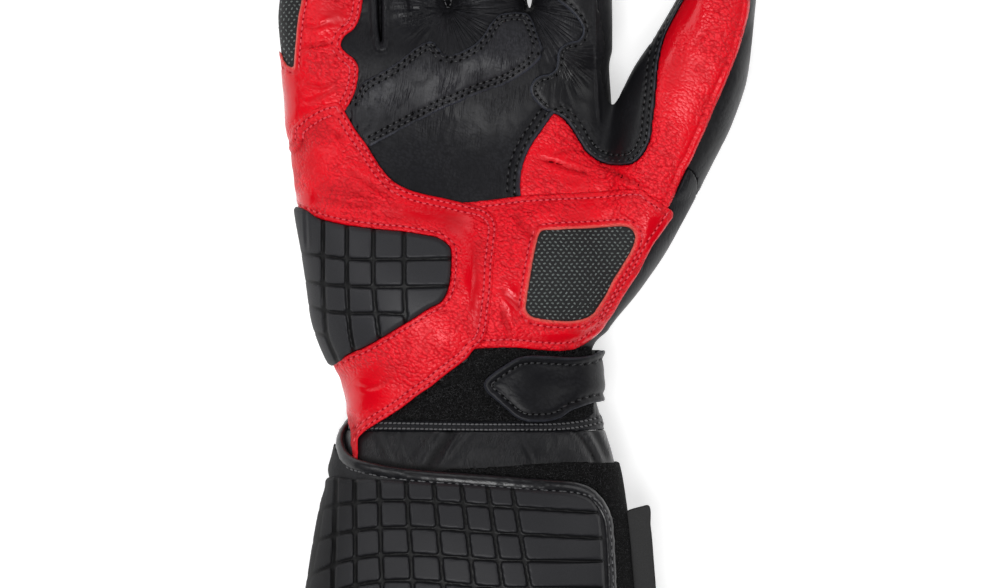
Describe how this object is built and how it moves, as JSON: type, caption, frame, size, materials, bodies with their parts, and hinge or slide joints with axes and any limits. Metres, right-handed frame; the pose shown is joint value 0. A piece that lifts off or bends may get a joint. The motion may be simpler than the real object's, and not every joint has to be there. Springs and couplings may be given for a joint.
{
  "type": "motorcycle racing glove",
  "caption": "Right-hand racing gauntlet glove in black and red leather, palm up, with a rubber heel slider, wrist strap and a wide cuff flap with a rubber grid.",
  "frame": {"origin": "under the middle of the glove's bounding box, on the surface it lies on with its back down", "axes": "+Z out of the palm, +Y from the cuff to the fingertips, +X to the thumb side"},
  "size_m": [0.1591, 0.3089, 0.071],
  "materials": {
    "black_leather": "soft sheen, fine grain",
    "red_leather": "soft sheen, creased grain",
    "moulded_rubber": "satin",
    "loop_fabric": "fuzzy",
    "plate_fabric": "woven, covered in small hard plates"
  },
  "bodies": {
    "root": {"palm_shell": "black_leather", "hand_back": "black_leather", "gauntlet_front": "black_leather", "gauntlet_back": "black_leather", "little_finger_front": "black_leather", "little_finger_back": "black_leather", "ring_finger_front": "black_leather", "ring_finger_back": "black_leather", "middle_finger_front": "black_leather", "middle_finger_back": "black_leather", "index_finger_front": "black_leather", "index_finger_back": "black_leather", "thumb_front": "black_leather", "thumb_back": "black_leather", "side_panel": "red_leather", "little_finger_patch": "plate_fabric", "palm_grip_patch": "black_leather", "heel_panel": "red_leather", "heel_slider": "moulded_rubber", "thenar_panel": "red_leather", "thenar_patch": "plate_fabric", "thumb_panel": "red_leather", "thumb_gusset": "black_leather", "wrist_loop_pad": "loop_fabric", "wrist_strap": "black_leather", "cuff_loop_pad": "loop_fabric", "cuff_flap": "black_leather", "cuff_flap_binding": "black_leather", "cuff_flap_grid": "moulded_rubber", "cuff_label": "black_leather"}
  },
  "joints": []
}
